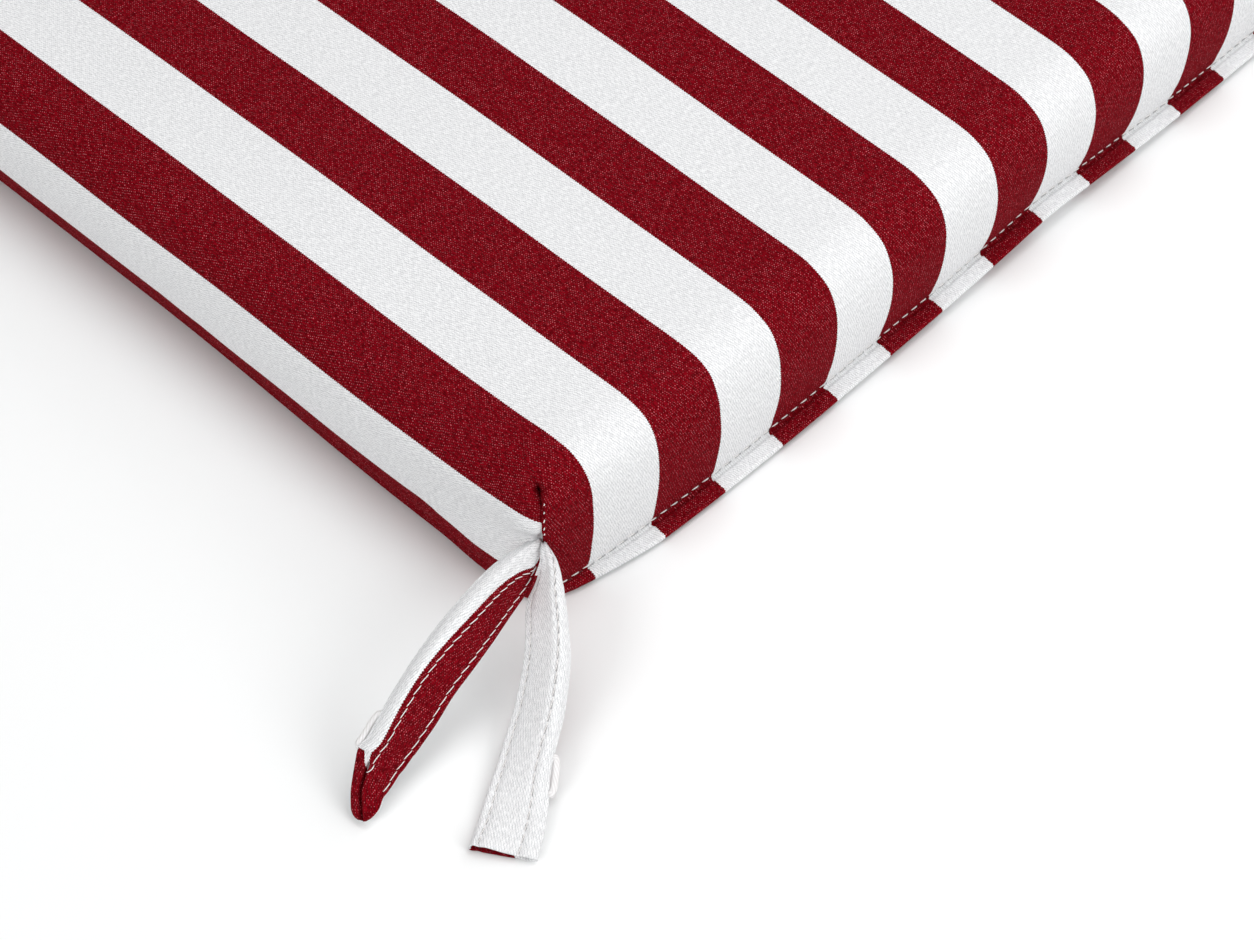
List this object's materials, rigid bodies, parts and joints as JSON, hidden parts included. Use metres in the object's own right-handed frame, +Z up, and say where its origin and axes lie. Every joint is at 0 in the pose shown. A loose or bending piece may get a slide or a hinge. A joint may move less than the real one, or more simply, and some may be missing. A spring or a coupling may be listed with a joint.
{
  "type": "chair cushion with corner ties",
  "caption": "Square filled chair cushion in broad striped canvas, with flanged ends and a pair of flat fabric ties at each back corner.",
  "frame": {"origin": "centre of the flat underside that the cushion rests on", "axes": "+Z up through the crown, X across the stripes, +Y along them towards the tied back end"},
  "size_m": [0.6078, 0.4972, 0.0649],
  "materials": {
    "striped_canvas": "woven canvas, block stripes in dark red and white",
    "tie_canvas_red": "woven canvas, dark red with a white band",
    "tie_canvas_white": "woven canvas, white",
    "loop_cord": "turned cotton cord, white",
    "sewing_thread": "twisted polyester thread, off-white"
  },
  "bodies": {
    "root": {"cushion": "striped_canvas", "tie_right_side": "tie_canvas_red", "tie_left_side": "tie_canvas_red", "tie_right_end": "tie_canvas_white", "tie_left_end": "tie_canvas_white", "loop_right_side": "loop_cord", "loop_right_end": "loop_cord", "loop_left_side": "loop_cord", "loop_left_end": "loop_cord"}
  },
  "joints": []
}
